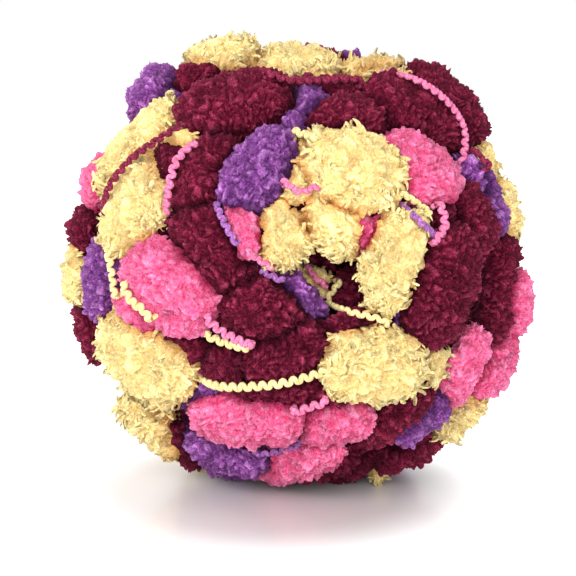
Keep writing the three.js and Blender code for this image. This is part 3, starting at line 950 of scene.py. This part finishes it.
def mapped(tree, value, low, high, first=0.0, last=1.0, interpolation="LINEAR"):
    """A value between first and last as one between low and high."""
    node = tree.nodes.new("ShaderNodeMapRange")
    node.interpolation_type = interpolation
    node.inputs["From Min"].default_value = first
    node.inputs["From Max"].default_value = last
    node.inputs["To Min"].default_value = low
    node.inputs["To Max"].default_value = high
    tree.links.new(value, node.inputs["Value"])
    return node.outputs["Result"]


def worked_out(tree, operation, *values):
    """The result of a sum, in which each value is a number or comes out of another node."""
    node = tree.nodes.new("ShaderNodeMath")
    node.operation = operation
    for socket, value in zip(node.inputs, values):
        if isinstance(value, float):
            socket.default_value = value
        else:
            tree.links.new(value, socket)
    return node.outputs["Value"]


def pile_colour(tree, row):
    """The colour along a tuft: its dye at the side, painted dark at its root as shade and light at its tip
    as a highlight, and painted darkest in a crease as the shade there.
    """
    ramp = tree.nodes.new("ShaderNodeValToRGB")
    stops = ramp.color_ramp.elements
    stops[0].position = 0.05
    stops[0].color = (*row["root"], 1)
    stops[1].position = 1.0
    stops[1].color = (*row["tip"], 1)
    middle = stops.new(0.55)
    middle.color = (*row["side"], 1)
    tree.links.new(point_value(tree, "along"), ramp.inputs["Fac"])
    # The colour is mixed toward the crease colour as far as each point's crease value, as painted shade
    painted_crease_shade = tree.nodes.new("ShaderNodeMix")
    painted_crease_shade.data_type = "RGBA"
    painted_crease_shade.inputs["B"].default_value = (*row["crease"], 1)
    tree.links.new(point_value(tree, "crease"), painted_crease_shade.inputs["Factor"])
    tree.links.new(ramp.outputs["Color"], painted_crease_shade.inputs["A"])
    return painted_crease_shade.outputs["Result"]


def plush(row):
    """Plush with a fine grain of fibres and broad patches, with painted shade in the pits between its
    curls.
    """
    material, tree, surface = new_material(f"plush_{row['dye']}")
    place = object_place(tree)
    brightness = mapped(tree, point_value(tree, "tint"), 0.74, 1.24)
    grain = grain_of(tree, place, scale=1300, detail=3)
    fibres = mapped(tree, grain, 0.72, 1.22, 0.3, 0.7)
    patches = grain_of(tree, place, scale=110, detail=4, roughness=0.65)
    broad = mapped(tree, patches, 0.82, 1.16, 0.3, 0.7)

    # Fine dark lines of painted shade that wander between the curls, where a noise passes through its
    # middle value
    wander = grain_of(tree, place, scale=640, detail=2.5, roughness=0.6, distortion=1.1)
    off_line = worked_out(tree, "ABSOLUTE", worked_out(tree, "SUBTRACT", wander, 0.5))
    curls = mapped(tree, off_line, row["pits"], 1.08, 0.0, 0.09)

    value = brightness
    for factor in (fibres, curls, broad):
        value = worked_out(tree, "MULTIPLY", value, factor)
    shaded = tree.nodes.new("ShaderNodeHueSaturation")
    tree.links.new(pile_colour(tree, row), shaded.inputs["Color"])
    tree.links.new(value, shaded.inputs["Value"])
    tree.links.new(shaded.outputs["Color"], surface.inputs["Base Color"])

    bump = tree.nodes.new("ShaderNodeBump")
    bump.inputs["Strength"].default_value = 0.6
    bump.inputs["Distance"].default_value = 0.0005
    tree.links.new(worked_out(tree, "ADD", grain, curls), bump.inputs["Height"])
    tree.links.new(bump.outputs["Normal"], surface.inputs["Normal"])
    surface.inputs["Roughness"].default_value = 0.95
    surface.inputs["Specular IOR Level"].default_value = 0.05
    surface.inputs["Sheen Weight"].default_value = 0.1
    surface.inputs["Sheen Roughness"].default_value = 0.45
    surface.inputs["Sheen Tint"].default_value = (*row["sheen"], 1)
    return material


def build_floor():
    """A slightly glossy floor, grey with a painted shadow round the foot of the ball, where real shadows
    and reflections also fall, that turns to glowing white farther out, which lights the ball from below.
    """
    bpy.ops.mesh.primitive_circle_add(vertices=96, radius=3, fill_type="NGON")
    floor = bpy.context.object
    floor.name = "floor"
    # The painted shadow is centred a little to the left of and in front of the ball
    floor.location = (-0.012, -0.022, 0)
    material, tree, surface = new_material("floor_with_painted_shadow")
    # The grey of the painted shadow, which fades into the white glow away from the ball
    surface.inputs["Base Color"].default_value = (0.76, 0.74, 0.75, 1)
    surface.inputs["Roughness"].default_value = 0.22
    distance = tree.nodes.new("ShaderNodeVectorMath")
    distance.operation = "LENGTH"
    tree.links.new(object_place(tree), distance.inputs[0])
    far = mapped(tree, distance.outputs["Value"], 0.0, 1.0, 0.05, 0.115, "SMOOTHSTEP")
    white = tree.nodes.new("ShaderNodeEmission")
    white.inputs["Strength"].default_value = 1.7
    blend = tree.nodes.new("ShaderNodeMixShader")
    tree.links.new(far, blend.inputs["Fac"])
    tree.links.new(surface.outputs["BSDF"], blend.inputs[1])
    tree.links.new(white.outputs["Emission"], blend.inputs[2])
    tree.links.new(blend.outputs["Shader"], tree.nodes["Material Output"].inputs["Surface"])
    floor.data.materials.append(material)


def area_light(name, place, size, power, colour):
    light = bpy.data.lights.new(name, "AREA")
    light.shape = "DISK"
    light.size = size
    light.energy = power
    light.color = colour
    lamp = bpy.data.objects.new(name, light)
    lamp.location = place
    lamp.rotation_euler = (Vector(MIDDLE * MM) - lamp.location).to_track_quat("-Z", "Y").to_euler()
    bpy.context.scene.collection.objects.link(lamp)


def build_studio():
    world = bpy.data.worlds.new("studio")
    bpy.context.scene.world = world
    world.use_nodes = True
    nodes = world.node_tree.nodes
    links = world.node_tree.links
    soft = nodes["Background"]
    soft.inputs["Color"].default_value = (1, 1, 1, 1)
    soft.inputs["Strength"].default_value = 0.8
    white = nodes.new("ShaderNodeBackground")
    white.inputs["Color"].default_value = (1, 1, 1, 1)
    white.inputs["Strength"].default_value = 1.0
    rays = nodes.new("ShaderNodeLightPath")
    blend = nodes.new("ShaderNodeMixShader")
    links.new(rays.outputs["Is Camera Ray"], blend.inputs["Fac"])
    links.new(soft.outputs["Background"], blend.inputs[1])
    links.new(white.outputs["Background"], blend.inputs[2])
    links.new(blend.outputs["Shader"], nodes["World Output"].inputs["Surface"])
    area_light("key", (-0.45, -1.0, 0.75), size=0.8, power=9, colour=(1.0, 0.99, 0.97))
    area_light("front", (0.1, -1.3, 0.2), size=1.2, power=9.5, colour=(1.0, 0.98, 0.99))
    area_light("rim", (-0.7, 0.75, 0.6), size=0.8, power=10, colour=(1.0, 1.0, 1.0))
    bpy.context.scene.view_settings.view_transform = "Standard"


def build_camera():
    camera = bpy.data.cameras.new("camera")
    camera.lens = LENS
    camera.sensor_width = 36
    camera.clip_start = 0.01
    holder = bpy.data.objects.new("camera", camera)
    aim = MIDDLE + AIM["right"] * RIGHT + AIM["up"] * UP
    holder.location = EYE * MM
    holder.rotation_euler = Vector((aim - EYE) * MM).to_track_quat("-Z", "Y").to_euler()
    bpy.context.scene.collection.objects.link(holder)
    bpy.context.scene.camera = holder


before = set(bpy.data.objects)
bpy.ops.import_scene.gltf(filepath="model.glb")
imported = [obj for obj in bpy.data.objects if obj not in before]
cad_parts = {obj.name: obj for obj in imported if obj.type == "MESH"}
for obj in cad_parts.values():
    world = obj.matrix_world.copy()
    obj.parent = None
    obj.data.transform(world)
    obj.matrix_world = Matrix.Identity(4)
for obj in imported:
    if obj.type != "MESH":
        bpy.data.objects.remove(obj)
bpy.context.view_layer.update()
build_camera()
PLUSHES = {row["dye"]: row for row in rows(PLUSH_COLUMNS, PLUSH)}
TUFT_STYLES = {row["where"]: row for row in rows(TUFT_COLUMNS, TUFTS)}
MATERIALS = {row["dye"]: plush(row) for row in rows(DYE_COLUMNS, DYES)}
dress(build_inner_turns(), "wine")
dress(build_inner_plush(), "wine")
for number, pompom in enumerate(POMPOMS):
    piece = build_pompom(pompom, number)
    if piece:
        dress(piece, pompom["dye"])
for number, row in enumerate(rows(THREAD_COLUMNS, THREADS)):
    dress(build_thread(row, number), row["dye"])
build_floor()
build_studio()
